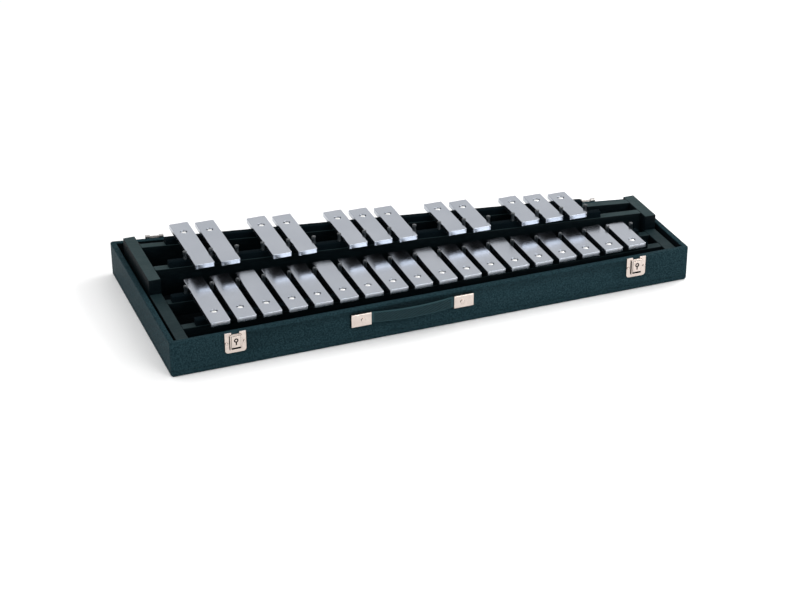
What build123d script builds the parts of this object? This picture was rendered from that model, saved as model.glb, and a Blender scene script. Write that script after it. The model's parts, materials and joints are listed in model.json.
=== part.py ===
"""Glockenspiel of two rows of metal bars, built into the base half of its carrying case.

Frame: origin at the bottom centre of the whole object, +X towards the treble (narrow) end,
+Y towards the hinged back, +Z up. Millimetres.
"""
from build123d import *
import os

os.makedirs("parts", exist_ok=True)

# ---------------------------------------------------------------- driving dimensions
# Case: a shallow box, square at both ends, whose back wall slants in towards the treble.
case_length = 833.0
depth_bass = 350.0
depth_treble = 191.0
case_height = 56.0
wall = 8.5
floor_thickness = 8.0
corner_radius = 5.0
foot_radius = 3.0

# Handle and latches on the front face.
handle_reach = 12.0
handle_x = -46.0
latch_x = {"bass": -319.5, "treble": 324.7}

half_length = case_length / 2
front = -(depth_bass - handle_reach) / 2
back_slope = (depth_treble - depth_bass) / case_length

# Inner frame: an end board at each side, with a raised block on its back part.
end_gap = 5.5
end_board_width = 18.5
frame_front = 11.5
low_top = 50.5
raised_top = 75.0
end_board_back = {"bass": 315.5, "treble": 165.0}
raised_block_front = {"bass": 162.5, "treble": 87.0}
block_edge = 0.8

# Rails: each is a straight board from end board to end board. The two numbers are the
# distance of its centre line from the front face, at the bass and at the treble end.
rail_width = 14.0
rail_height = {"low": 22.0, "high": 45.0}
rail_lines = {
    "front_natural": (52.0, 34.8),
    "rear_natural": (133.5, 77.0),
    "front_accidental": (199.0, 108.0),
    "rear_accidental": (280.0, 148.0),
}
natural_rails = ("front_natural", "rear_natural")
accidental_rails = ("front_accidental", "rear_accidental")
rail_rows = {"natural": natural_rails, "accidental": accidental_rails}

# Felt strips on the rails, from and to these X positions.
felt_width = 11.5
felt_height = 10.0
felt_ends = {
    "front_natural": (-364.0, 360.0),
    "rear_natural": (-377.0, 366.0),
    "front_accidental": (-362.5, 317.0),
    "rear_accidental": (-347.0, 307.0),
}

# Bars.
bar_width = 30.0
bar_thickness = 7.5
bar_pitch = 39.4
bar_corner = 1.2
bar_bevel = 0.7
accidental_shift = -2.0
natural_front = 17.0
natural_lengths = (145.2, 81.4)
accidental_fronts = (153.7, 101.2)
accidental_lengths = (147.0, 84.3)
natural_notes = "g5 a5 b5 c6 d6 e6 f6 g6 a6 b6 c7 d7 e7 f7 g7 a7 b7 c8".split()
accidental_notes = {
    "g_sharp_5": 0, "a_sharp_5": 1, "c_sharp_6": 3, "d_sharp_6": 4, "f_sharp_6": 6, "g_sharp_6": 7,
    "a_sharp_6": 8, "c_sharp_7": 10, "d_sharp_7": 11, "f_sharp_7": 13, "g_sharp_7": 14, "a_sharp_7": 15,
}
last_accidental_slot = 15

# Bar screw in its rubber grommet, sunk in a counterbore.
counterbore_radius = 5.3
counterbore_depth = 4.0
bar_hole_radius = 3.5
flange_radius = 5.0
flange_thickness = 1.0
screw_radius = 2.0
screw_head_radius = 4.3
screw_head_height = 2.4
screw_dome_radius = 1.9
screw_bite = 14.0

# Guide posts between the bars: a steel pin in a rubber sleeve.
pin_radius = 1.5
sleeve_radius = 3.25
sleeve_above_bar = 5.5
pin_above_sleeve = 0.4
pin_bite = 12.0

# Latch: a plate with a raised housing, in which a sprung slide carries the key plug.
latch_z = 39.6
plate_width = 32.0
plate_height = 32.6
plate_thickness = 1.2
plate_corner = 5.0
notch_width = 12.0
notch_depth = 2.7
housing_width = 19.6
housing_corner = 2.2
housing_low, housing_high = -11.8, 13.4
housing_taper = 20.0
housing_face = 4.0
window_width = 14.6
window_low, window_high = -9.7, 11.6
slide_width = 14.0
slide_low, slide_high = -6.7, 11.3
slide_face = 5.0
slide_edge = 0.7
slide_back = -1.2
slide_flange_width = 16.4
slide_flange_thickness = 0.9
pocket_width = 17.4
pocket_reach = 12.6
pocket_depth = 5.0
lug_width = 6.0
lug_low, lug_high = -6.0, -3.0
lug_back = -4.2
plug_height = 4.8
plug_radius = 4.0
plug_clearance = 0.05
plug_face = 3.4
plug_flange_radius = 4.8
plug_flange = (-2.2, -1.4)
plug_slot_depth = 3.0
plug_slot_length = 3.4
plug_pin_radius = 1.5
plug_pin_face = 4.8
keyhole_radius = 3.4
keyhole_slot_width = 2.0
keyhole_slot_low = -3.0
keyhole_depth = 2.0
spring_wire = 0.4
spring_width = 2.4
spring_half_span = 2.2
spring_folds = 4
latch_rivet_spacing = 27.0
latch_rivet_radius = 1.4
latch_rivet_head_radius = 2.3

# Handle: two riveted end caps over the ends of a bowed strap.
cap_spacing = 163.0
cap_width = 32.0
cap_height = 20.6
cap_depth = 6.0
cap_z = 39.2
cap_edge = 1.3
cap_open_edge = 1.0
strap_height = 17.0
strap_thickness = 3.5
strap_gap = 0.5
strap_end_reach = 89.0
strap_bend = 62.0
strap_bow = 7.0
strap_play = 0.3
strap_slot_length = 9.0
cap_rivet_radius = 2.0
cap_rivet_inset = 2.6
cap_rivet_head_radius = 3.5
rivet_head_height = 1.4
rivet_dome_radius = 1.0
rivet_bite = 6.0

# Lift-off hinge halves on the back wall: a leaf with two ears and a pin between them.
hinge_x = (-347.5, 339.5)
hinge_width = 29.0
hinge_leaf_height = 22.0
hinge_leaf_thickness = 1.6
ear_width = 7.5
ear_radius = 3.2
hinge_pin_radius = 1.5
hinge_pin_height = 0.6
hinge_pin_inset = 1.0
ear_foot = 6.0
hinge_screw_spacing = 17.0
hinge_screw_drop = 13.0

# ---------------------------------------------------------------- derived places
inner_x = half_length - wall - end_gap - end_board_width
outer_x = half_length - wall - end_gap
sides = {"bass": -1, "treble": 1}


def back_y(x, inset=0.0):
    """Y of the back wall's outer face at x, or of a plane parallel to it, inset towards the front."""
    slant = (1 + back_slope**2) ** 0.5
    return front + depth_bass + back_slope * (x + half_length) - inset * slant


def rail_y(name, x):
    """Y of a rail's centre line at x."""
    bass, treble = rail_lines[name]
    return front + bass + (treble - bass) * (x + inner_x) / (2 * inner_x)


def rail_top(name):
    """Height of a rail's top face: low rails carry the naturals, raised ones the accidentals."""
    return low_top if name in natural_rails else raised_top


def blend_value(pair, share):
    """The value a given share of the way from the first to the second of a pair."""
    return pair[0] + (pair[1] - pair[0]) * share


def natural_x(index):
    return (index - (len(natural_notes) - 1) / 2) * bar_pitch


def accidental_x(slot):
    return natural_x(slot + 0.5) + accidental_shift


natural_xs = [natural_x(i) for i in range(len(natural_notes))]
accidental_xs = [accidental_x(slot) for slot in accidental_notes.values()]
natural_post_xs = [natural_x(i - 0.5) for i in range(len(natural_notes) + 1)]
accidental_post_xs = [accidental_x(slot - 0.5) for slot in range(last_accidental_slot + 2)]
screw_xs = {"front_natural": natural_xs, "rear_accidental": accidental_xs}
post_xs = {"rear_natural": natural_post_xs, "front_accidental": accidental_post_xs}


def rail_points(name, xs):
    """Plan positions on a rail's centre line."""
    return [(x, rail_y(name, x)) for x in xs]


def fixings_on(name):
    """What stands in a rail: bar screws on one rail of each row, guide pins on the other."""
    if name in screw_xs:
        return {"xs": screw_xs[name], "radius": screw_radius, "bite": screw_bite}
    return {"xs": post_xs[name], "radius": pin_radius, "bite": pin_bite}


def strip_outline(name, x_start, x_end, width):
    """Corners of a strip of this width that follows a rail's line between two X positions."""
    return [
        (x_start, rail_y(name, x_start) - width / 2),
        (x_end, rail_y(name, x_end) - width / 2),
        (x_end, rail_y(name, x_end) + width / 2),
        (x_start, rail_y(name, x_start) + width / 2),
    ]


def front_plane(x, z, out=0.0):
    """Work plane on the case's front face, facing outwards, with its own up along +Z."""
    return Plane(origin=(x, front - out, z), x_dir=(1, 0, 0), z_dir=(0, -1, 0))


def save(piece, name):
    piece.label = name
    export_step(piece, f"parts/{name}.step")


# ---------------------------------------------------------------- case
footprint = [
    (-half_length, front),
    (half_length, front),
    (half_length, back_y(half_length)),
    (-half_length, back_y(-half_length)),
]

with BuildPart() as case_bottom:
    with BuildSketch(Plane.XY):
        with BuildLine():
            Polyline(*footprint, close=True)
        make_face()
    extrude(amount=floor_thickness)
    fillet(case_bottom.edges().filter_by(Axis.Z), corner_radius)
    fillet(case_bottom.faces().sort_by(Axis.Z)[0].edges(), foot_radius)
save(case_bottom.part, "case_bottom")

latch_xs = list(latch_x.values())
cap_xs = [handle_x - cap_spacing / 2, handle_x + cap_spacing / 2]
cap_rivet_xs = [cap_xs[0] + cap_rivet_inset, cap_xs[1] - cap_rivet_inset]

with BuildPart() as case_front:
    with BuildSketch(Plane.XY.offset(floor_thickness)):
        with BuildLine():
            Polyline(
                (-half_length, front),
                (half_length, front),
                (half_length, front + wall),
                (-half_length, front + wall),
                close=True,
            )
        make_face()
    extrude(amount=case_height - floor_thickness)
    fillet(case_front.edges().filter_by(Axis.Z).group_by(Axis.Y)[0], corner_radius)
    for x in latch_xs:
        with BuildSketch(front_plane(x, latch_z)):
            Rectangle(pocket_width, 2 * pocket_reach)
        extrude(amount=-pocket_depth, mode=Mode.SUBTRACT)
        with BuildSketch(front_plane(x, latch_z)):
            with GridLocations(latch_rivet_spacing, 1, 2, 1):
                Circle(latch_rivet_radius)
        extrude(amount=-rivet_bite, mode=Mode.SUBTRACT)
    for x in cap_rivet_xs:
        with BuildSketch(front_plane(x, cap_z)):
            Circle(cap_rivet_radius)
        extrude(amount=-rivet_bite, mode=Mode.SUBTRACT)
save(case_front.part, "case_front")

back_direction = Vector(1, back_slope, 0).normalized()
back_outward = Vector(-back_slope, 1, 0).normalized()


def back_plane(x, z, out=0.0):
    """Work plane on the back wall's outer face, facing outwards."""
    origin = Vector(x, back_y(x), z) + back_outward * out
    return Plane(origin=origin, x_dir=-back_direction, z_dir=back_outward)


with BuildPart() as case_back:
    with BuildSketch(Plane.XY.offset(floor_thickness)):
        with BuildLine():
            Polyline(
                (-half_length, back_y(-half_length, wall)),
                (half_length, back_y(half_length, wall)),
                (half_length, back_y(half_length)),
                (-half_length, back_y(-half_length)),
                close=True,
            )
        make_face()
    extrude(amount=case_height - floor_thickness)
    outer_corners = [
        case_back.edges().filter_by(Axis.Z).sort_by_distance(Vector(x, back_y(x), case_height / 2))[0]
        for x in (-half_length, half_length)
    ]
    fillet(outer_corners, corner_radius)
    for x in hinge_x:
        with BuildSketch(back_plane(x, case_height - hinge_screw_drop)):
            with GridLocations(hinge_screw_spacing, 1, 2, 1):
                Circle(latch_rivet_radius)
        extrude(amount=-rivet_bite, mode=Mode.SUBTRACT)
save(case_back.part, "case_back")

for side, sign in sides.items():
    outer = sign * half_length
    inner = sign * (half_length - wall)
    with BuildPart() as case_end:
        with BuildSketch(Plane.XY.offset(floor_thickness)):
            with BuildLine():
                Polyline(
                    (outer, front + wall),
                    (inner, front + wall),
                    (inner, back_y(inner, wall)),
                    (outer, back_y(outer, wall)),
                    close=True,
                )
            make_face()
        extrude(amount=case_height - floor_thickness)
    save(case_end.part, f"case_{side}_end")

# ---------------------------------------------------------------- inner frame
for side, sign in sides.items():
    board_center_x = sign * (inner_x + outer_x) / 2
    board_back = end_board_back[side]
    block_front = raised_block_front[side]
    with BuildPart() as end_board:
        with BuildSketch(Plane.XY.offset(floor_thickness)):
            with Locations((board_center_x, front + (frame_front + board_back) / 2)):
                Rectangle(end_board_width, board_back - frame_front)
        extrude(amount=low_top - floor_thickness)
    save(end_board.part, f"end_board_{side}")

    with BuildPart() as raised_block:
        with BuildSketch(Plane.XY.offset(low_top)):
            with Locations((board_center_x, front + (block_front + board_back) / 2)):
                Rectangle(end_board_width, board_back - block_front)
        extrude(amount=raised_top - low_top)
        fillet(raised_block.faces().sort_by(Axis.Z)[-1].edges(), block_edge)
    save(raised_block.part, f"raised_block_{side}")

for name in rail_lines:
    top = rail_top(name)
    height = rail_height["low"] if name in natural_rails else rail_height["high"]
    with BuildPart() as rail:
        with BuildSketch(Plane.XY.offset(top - height)):
            with BuildLine():
                Polyline(*strip_outline(name, -inner_x, inner_x, rail_width), close=True)
            make_face()
        extrude(amount=height)
        fixings = fixings_on(name)
        with BuildSketch(Plane.XY.offset(top)):
            with Locations(*rail_points(name, fixings["xs"])):
                Circle(fixings["radius"])
        extrude(amount=-fixings["bite"], mode=Mode.SUBTRACT)
    save(rail.part, f"rail_{name}")

for row, names in rail_rows.items():
    with BuildPart() as felts:
        for name in names:
            fixings = fixings_on(name)
            with BuildSketch(Plane.XY.offset(rail_top(name))):
                with BuildLine():
                    Polyline(*strip_outline(name, *felt_ends[name], felt_width), close=True)
                make_face()
                with Locations(*rail_points(name, fixings["xs"])):
                    Circle(fixings["radius"], mode=Mode.SUBTRACT)
            extrude(amount=felt_height)
    save(felts.part, f"felts_{row}")

# ---------------------------------------------------------------- bars
def make_bar(name, x, bar_front, length, hole_y, bottom):
    """One bar: bevelled on top, with a counterbored hole for its screw."""
    with BuildPart() as bar:
        with BuildSketch(Plane.XY.offset(bottom)):
            with Locations((x, bar_front + length / 2)):
                RectangleRounded(bar_width, length, bar_corner)
        extrude(amount=bar_thickness)
        chamfer(bar.faces().sort_by(Axis.Z)[-1].edges(), bar_bevel)
        with Locations((x, hole_y, bottom + bar_thickness)):
            CounterBoreHole(bar_hole_radius, counterbore_radius, counterbore_depth, depth=bar_thickness)
    save(bar.part, f"bar_{name}")


for index, note in enumerate(natural_notes):
    share = index / (len(natural_notes) - 1)
    x = natural_x(index)
    make_bar(
        note,
        x,
        front + natural_front,
        blend_value(natural_lengths, share),
        rail_y("front_natural", x),
        low_top + felt_height,
    )

for note, slot in accidental_notes.items():
    share = slot / last_accidental_slot
    x = accidental_x(slot)
    make_bar(
        note,
        x,
        front + blend_value(accidental_fronts, share),
        blend_value(accidental_lengths, share),
        rail_y("rear_accidental", x),
        raised_top + felt_height,
    )

# ---------------------------------------------------------------- screws, grommets and guide posts
seat = bar_thickness - counterbore_depth

with BuildPart() as grommets:
    for name, xs in screw_xs.items():
        bar_bottom = rail_top(name) + felt_height
        places = rail_points(name, xs)
        with BuildSketch(Plane.XY.offset(bar_bottom)):
            with Locations(*places):
                Circle(bar_hole_radius)
                Circle(screw_radius, mode=Mode.SUBTRACT)
        extrude(amount=seat)
        with BuildSketch(Plane.XY.offset(bar_bottom + seat)):
            with Locations(*places):
                Circle(flange_radius)
                Circle(screw_radius, mode=Mode.SUBTRACT)
        extrude(amount=flange_thickness)
save(grommets.part, "bar_grommets")

with BuildPart() as bar_screws:
    for name, xs in screw_xs.items():
        head_seat = rail_top(name) + felt_height + seat + flange_thickness
        places = rail_points(name, xs)
        with BuildSketch(Plane.XY.offset(head_seat)):
            with Locations(*places):
                Circle(screw_head_radius)
        extrude(amount=screw_head_height)
        fillet(bar_screws.faces().group_by(Axis.Z)[-1].edges(), screw_dome_radius)
        with BuildSketch(Plane.XY.offset(rail_top(name) - screw_bite)):
            with Locations(*places):
                Circle(screw_radius)
        extrude(amount=head_seat - rail_top(name) + screw_bite)
save(bar_screws.part, "bar_screws")

with BuildPart() as guide_pins:
    for name, xs in post_xs.items():
        pin_bottom = rail_top(name) - pin_bite
        sleeve_top = rail_top(name) + felt_height + bar_thickness + sleeve_above_bar
        with BuildSketch(Plane.XY.offset(pin_bottom)):
            with Locations(*rail_points(name, xs)):
                Circle(pin_radius)
        extrude(amount=sleeve_top + pin_above_sleeve - pin_bottom)
save(guide_pins.part, "guide_pins")

with BuildPart() as guide_sleeves:
    for name, xs in post_xs.items():
        sleeve_bottom = rail_top(name) + felt_height
        with BuildSketch(Plane.XY.offset(sleeve_bottom)):
            with Locations(*rail_points(name, xs)):
                Circle(sleeve_radius)
                Circle(pin_radius, mode=Mode.SUBTRACT)
        extrude(amount=bar_thickness + sleeve_above_bar)
save(guide_sleeves.part, "guide_sleeves")

# ---------------------------------------------------------------- latches
window_center = (window_low + window_high) / 2
window_height = window_high - window_low

with BuildPart() as latch_plates:
    for x in latch_xs:
        with BuildSketch(front_plane(x, latch_z)) as plate_sketch:
            Rectangle(plate_width, plate_height)
            fillet(plate_sketch.vertices().group_by(Axis.Y)[0], plate_corner)
            with Locations((0, plate_height / 2 - notch_depth / 2)):
                Rectangle(notch_width, notch_depth, mode=Mode.SUBTRACT)
            with GridLocations(latch_rivet_spacing, 1, 2, 1):
                Circle(latch_rivet_radius, mode=Mode.SUBTRACT)
        extrude(amount=plate_thickness)
        with BuildSketch(front_plane(x, latch_z, plate_thickness)):
            with Locations((0, (housing_low + housing_high) / 2)):
                RectangleRounded(housing_width, housing_high - housing_low, housing_corner)
        extrude(amount=housing_face - plate_thickness, taper=housing_taper)
        with BuildSketch(front_plane(x, latch_z)):
            with Locations((0, window_center)):
                Rectangle(window_width, window_height)
        extrude(amount=housing_face, mode=Mode.SUBTRACT)
save(latch_plates.part, "latch_plates")


def latch_rectangle(x, low, high, width, out):
    """A rectangle parallel to the front face: low and high are heights from the latch centre."""
    with BuildSketch(front_plane(x, latch_z, out)) as outline:
        with Locations((0, (low + high) / 2)):
            Rectangle(width, high - low)
    return outline.sketch


for side, x in latch_x.items():
    flange_face = slide_back + slide_flange_thickness
    with BuildPart() as latch_slide:
        extrude(latch_rectangle(x, slide_low, slide_high, slide_width, flange_face), slide_face - flange_face)
        fillet(latch_slide.faces().sort_by(Axis.Y)[0].edges(), slide_edge)
        extrude(
            latch_rectangle(x, slide_low, slide_high, slide_flange_width, slide_back),
            slide_flange_thickness,
        )
        extrude(latch_rectangle(x, lug_low, lug_high, lug_width, lug_back), slide_back - lug_back)
        with BuildSketch(front_plane(x, latch_z + plug_height, slide_back)):
            Circle(plug_radius + plug_clearance)
        extrude(amount=plug_face + plug_clearance - slide_back, mode=Mode.SUBTRACT)
        with BuildSketch(front_plane(x, latch_z, slide_face)):
            with Locations((0, plug_height)):
                Circle(keyhole_radius)
        extrude(amount=-keyhole_depth, mode=Mode.SUBTRACT)
        extrude(
            latch_rectangle(x, keyhole_slot_low, plug_height, keyhole_slot_width, slide_back),
            slide_face - slide_back,
            mode=Mode.SUBTRACT,
        )
    save(latch_slide.part, f"latch_slide_{side}")

    with BuildPart() as lock_plug:
        with BuildSketch(front_plane(x, latch_z + plug_height, plug_flange[0])):
            Circle(plug_flange_radius)
        extrude(amount=plug_flange[1] - plug_flange[0])
        with BuildSketch(front_plane(x, latch_z + plug_height, plug_flange[1])):
            Circle(plug_radius)
        extrude(amount=plug_face - plug_flange[1])
        with BuildSketch(front_plane(x, latch_z + plug_height, plug_face)):
            with Locations((0, -plug_slot_length / 2)):
                Rectangle(keyhole_slot_width, plug_slot_length)
        extrude(amount=-plug_slot_depth, mode=Mode.SUBTRACT)
        with BuildSketch(front_plane(x, latch_z + plug_height, plug_flange[1])):
            Circle(plug_pin_radius)
        extrude(amount=plug_pin_face - plug_flange[1])
    save(lock_plug.part, f"lock_plug_{side}")

    spring_low = -pocket_reach
    fold_height = (lug_low - spring_low - spring_wire) / spring_folds
    spring_points = [
        (spring_half_span * (-1) ** fold, spring_low + spring_wire / 2 + fold * fold_height)
        for fold in range(spring_folds + 1)
    ]
    with BuildPart() as latch_spring:
        spring_center = (lug_back + slide_back - spring_width) / 2
        with BuildSketch(front_plane(x, latch_z, spring_center)):
            with BuildLine():
                Polyline(*spring_points)
                offset(amount=spring_wire / 2, side=Side.BOTH)
            make_face()
        extrude(amount=spring_width)
    save(latch_spring.part, f"latch_spring_{side}")

# ---------------------------------------------------------------- handle
strap_face = strap_gap + strap_thickness
strap_back_y = front - strap_gap
strap_face_y = front - strap_face
strap_ends = (handle_x - strap_end_reach, handle_x + strap_end_reach)
strap_bends = (handle_x - strap_bend, handle_x + strap_bend)

with BuildPart() as handle_strap:
    with BuildSketch(Plane.XY.offset(cap_z - strap_height / 2)):
        with BuildLine():
            ThreePointArc(
                (strap_bends[0], strap_back_y),
                (handle_x, strap_back_y - strap_bow),
                (strap_bends[1], strap_back_y),
            )
            Polyline(
                (strap_bends[1], strap_back_y),
                (strap_ends[1], strap_back_y),
                (strap_ends[1], strap_face_y),
                (strap_bends[1], strap_face_y),
            )
            ThreePointArc(
                (strap_bends[1], strap_face_y),
                (handle_x, strap_face_y - strap_bow),
                (strap_bends[0], strap_face_y),
            )
            Polyline(
                (strap_bends[0], strap_face_y),
                (strap_ends[0], strap_face_y),
                (strap_ends[0], strap_back_y),
                (strap_bends[0], strap_back_y),
            )
        make_face()
    extrude(amount=strap_height)
    for x in cap_rivet_xs:
        with BuildSketch(front_plane(x, cap_z)):
            SlotOverall(strap_slot_length, 2 * cap_rivet_radius + 2 * strap_play)
        extrude(amount=strap_face + strap_play, mode=Mode.SUBTRACT)
save(handle_strap.part, "handle_strap")

cavity_reach = (cap_spacing / 2 - cap_width / 2 - cap_open_edge, strap_end_reach + strap_play)
cavity_width = cavity_reach[1] - cavity_reach[0]
cavity_offset = sum(cavity_reach) / 2

with BuildPart() as handle_caps:
    for x in cap_xs:
        with BuildSketch(front_plane(x, cap_z)):
            RectangleRounded(cap_width, cap_height, cap_edge)
        extrude(amount=cap_depth)
    fillet(handle_caps.faces().filter_by(Axis.Y).group_by(Axis.Y)[0].edges(), cap_edge)
    for cavity_x in (handle_x - cavity_offset, handle_x + cavity_offset):
        with BuildSketch(front_plane(cavity_x, cap_z)):
            Rectangle(cavity_width, strap_height + 2 * strap_play)
        extrude(amount=strap_face + strap_play, mode=Mode.SUBTRACT)
    for x in cap_rivet_xs:
        with BuildSketch(front_plane(x, cap_z)):
            Circle(cap_rivet_radius)
        extrude(amount=cap_depth, mode=Mode.SUBTRACT)
save(handle_caps.part, "handle_caps")

# ---------------------------------------------------------------- rivets
def make_rivet(plane, shank_radius, head_radius, shank_length):
    """A rivet that stands on a plane: its shank goes back into it and its head is domed."""
    with BuildPart() as rivet:
        with BuildSketch(plane):
            Circle(head_radius)
        extrude(amount=rivet_head_height)
        top_point = plane.origin + plane.z_dir * rivet_head_height
        fillet(rivet.faces().sort_by_distance(top_point)[0].edges(), rivet_dome_radius)
        with BuildSketch(plane):
            Circle(shank_radius)
        extrude(amount=-shank_length)
    return rivet.part


with BuildPart() as rivets:
    for x in latch_xs:
        for offset_x in (-latch_rivet_spacing / 2, latch_rivet_spacing / 2):
            add(
                make_rivet(
                    front_plane(x + offset_x, latch_z, plate_thickness),
                    latch_rivet_radius,
                    latch_rivet_head_radius,
                    plate_thickness + rivet_bite,
                )
            )
    for x in cap_rivet_xs:
        add(
            make_rivet(
                front_plane(x, cap_z, cap_depth),
                cap_rivet_radius,
                cap_rivet_head_radius,
                cap_depth + rivet_bite,
            )
        )
    for x in hinge_x:
        for share in (-0.5, 0.5):
            middle = back_plane(x, case_height - hinge_screw_drop, hinge_leaf_thickness)
            place = Plane(
                origin=middle.origin + back_direction * share * hinge_screw_spacing,
                x_dir=middle.x_dir,
                z_dir=middle.z_dir,
            )
            add(
                make_rivet(
                    place,
                    latch_rivet_radius,
                    latch_rivet_head_radius,
                    hinge_leaf_thickness + rivet_bite,
                )
            )
save(rivets.part, "rivets")

# ---------------------------------------------------------------- hinge halves
ear_drop = hinge_pin_height + ear_foot

with BuildPart() as hinge_halves:
    for x in hinge_x:
        with BuildSketch(back_plane(x, case_height - hinge_leaf_height / 2)):
            Rectangle(hinge_width, hinge_leaf_height)
            with Locations((0, hinge_leaf_height / 2 - hinge_screw_drop)):
                with GridLocations(hinge_screw_spacing, 1, 2, 1):
                    Circle(latch_rivet_radius, mode=Mode.SUBTRACT)
        extrude(amount=hinge_leaf_thickness)
        axis_origin = Vector(x, back_y(x), case_height + hinge_pin_height) + back_outward * ear_radius
        for share in (-1, 1):
            ear_start = share * hinge_width / 2
            ear_plane = Plane(
                origin=axis_origin + back_direction * ear_start,
                x_dir=back_outward,
                z_dir=-back_direction * share,
            )
            with BuildSketch(ear_plane):
                Circle(ear_radius)
                with Locations((-ear_radius + hinge_leaf_thickness / 2, share * ear_drop / 2)):
                    Rectangle(hinge_leaf_thickness, ear_drop)
            extrude(amount=ear_width)
        with BuildSketch(Plane(origin=axis_origin, x_dir=back_outward, z_dir=back_direction)):
            Circle(hinge_pin_radius)
        extrude(amount=hinge_width / 2 - hinge_pin_inset, both=True)
save(hinge_halves.part, "lid_hinge_halves")
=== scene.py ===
"""Looks of a two-row glockenspiel in the base half of its carrying case.

Everything is in metres in the frame of the CAD model: +X towards the treble end, +Y towards the
hinged back, +Z up. Places and sizes come from the CAD nodes.
"""
import json
import math

import bmesh
import bpy
from mathutils import Matrix, Vector


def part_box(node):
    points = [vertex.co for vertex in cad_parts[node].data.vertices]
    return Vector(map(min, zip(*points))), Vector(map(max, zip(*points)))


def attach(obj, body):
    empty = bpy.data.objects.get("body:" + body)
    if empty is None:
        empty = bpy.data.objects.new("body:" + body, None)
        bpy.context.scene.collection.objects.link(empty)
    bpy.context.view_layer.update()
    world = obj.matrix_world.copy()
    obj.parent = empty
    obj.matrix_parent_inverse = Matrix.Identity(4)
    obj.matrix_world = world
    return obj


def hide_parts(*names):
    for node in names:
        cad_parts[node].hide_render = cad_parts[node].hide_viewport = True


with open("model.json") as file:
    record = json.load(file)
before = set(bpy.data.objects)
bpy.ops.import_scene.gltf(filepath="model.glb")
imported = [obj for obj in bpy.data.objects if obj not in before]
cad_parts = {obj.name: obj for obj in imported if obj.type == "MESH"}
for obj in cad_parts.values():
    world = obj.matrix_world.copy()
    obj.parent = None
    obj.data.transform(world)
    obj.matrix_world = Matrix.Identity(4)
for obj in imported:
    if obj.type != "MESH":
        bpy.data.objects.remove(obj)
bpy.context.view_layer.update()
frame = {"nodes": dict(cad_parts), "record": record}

MM = 0.001
BODIES = frame["record"]["behaviour"]["bodies"]
BODY_OF = {node: body for body, members in BODIES.items() for node in members}
SIDES = ("bass", "treble")

# ---------------------------------------------------------------- camera
CAMERA_AZIMUTH = math.radians(21.11)
CAMERA_ELEVATION = math.radians(28.35)
CAMERA_ROLL = math.radians(-0.18)
CAMERA_PLACE = Vector((-1.0155, -2.6312, 1.4820))
CAMERA_LENS = 91.4
SENSOR_WIDTH = 36.0


def add_camera():
    """The camera stands in front of the case, to the left, and looks down at it."""
    forward = Vector((
        math.sin(CAMERA_AZIMUTH) * math.cos(CAMERA_ELEVATION),
        math.cos(CAMERA_AZIMUTH) * math.cos(CAMERA_ELEVATION),
        -math.sin(CAMERA_ELEVATION),
    ))
    right = Vector((math.cos(CAMERA_AZIMUTH), -math.sin(CAMERA_AZIMUTH), 0.0))
    up = right.cross(forward)
    rolled_right = right * math.cos(CAMERA_ROLL) + up * math.sin(CAMERA_ROLL)
    rolled_up = up * math.cos(CAMERA_ROLL) - right * math.sin(CAMERA_ROLL)
    data = bpy.data.cameras.new("camera")
    data.lens = CAMERA_LENS
    data.sensor_width = SENSOR_WIDTH
    camera = bpy.data.objects.new("camera", data)
    turn = Matrix((rolled_right, rolled_up, -forward)).transposed().to_4x4()
    camera.matrix_world = Matrix.Translation(CAMERA_PLACE) @ turn
    bpy.context.scene.collection.objects.link(camera)
    bpy.context.scene.camera = camera


# ---------------------------------------------------------------- mesh helpers
WELD_DISTANCE = 0.001 * MM
RING_WELD_DISTANCE = 1e-7
AT_END = 1e-5
FLAT_ANGLE = 0.5
LEAST_SHARP_ANGLE = 30.0


def loft(edit, loops, closed=False):
    """Joins loops with equal numbers of points into a skin and returns the loops of vertices."""
    rings = [[edit.verts.new(point) for point in loop] for loop in loops]
    pairs = list(zip(rings, rings[1:]))
    if closed:
        pairs.append((rings[-1], rings[0]))
    for first, second in pairs:
        count = len(first)
        for i in range(count):
            j = (i + 1) % count
            edit.faces.new((first[i], first[j], second[j], second[i]))
    return rings


def solid_loft(edit, loops):
    """A lofted skin whose first and last loops are closed by a face."""
    rings = loft(edit, loops)
    edit.faces.new(rings[0][::-1])
    edit.faces.new(rings[-1])


def quarter(radius, steps):
    """(inset, rise) pairs of a rounded edge, from the side face to the top face."""
    turns = [math.pi / 2 * k / steps for k in range(steps + 1)]
    return [(radius * (1 - math.cos(a)), radius * math.sin(a)) for a in turns]


def lathe(edit, centre, profile, segments=24):
    """Turns a profile of (radius, height) points about a vertical axis. Radius 0 closes an end."""
    rings = []
    for radius, height in profile:
        if radius == 0.0:
            rings.append([edit.verts.new((centre.x, centre.y, height))])
            continue
        angles = [2 * math.pi * k / segments for k in range(segments)]
        rings.append([
            edit.verts.new((centre.x + radius * math.cos(a), centre.y + radius * math.sin(a), height))
            for a in angles
        ])
    for first, second in zip(rings, rings[1:]):
        for i in range(segments):
            j = (i + 1) % segments
            corners = [first[i % len(first)], first[j % len(first)]]
            corners += [second[j % len(second)], second[i % len(second)]]
            edit.faces.new(list(dict.fromkeys(corners)))


def to_mesh(edit, name, sharp_angle=38.0):
    """Turns a bmesh into a mesh that is smooth except across sharp edges."""
    bmesh.ops.recalc_face_normals(edit, faces=edit.faces)
    mesh = bpy.data.meshes.new(name)
    edit.to_mesh(mesh)
    edit.free()
    mesh.shade_smooth()
    mesh.set_sharp_from_angle(angle=math.radians(sharp_angle))
    return mesh


def add_piece(name, mesh, material, node, also=()):
    """Shows a mesh in place of a CAD node, on that node's body and with its material slot."""
    piece = bpy.data.objects.new(name, mesh)
    bpy.context.scene.collection.objects.link(piece)
    mesh.materials.append(material)
    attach(piece, BODY_OF[node])
    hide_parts(node, *also)
    return piece


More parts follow.
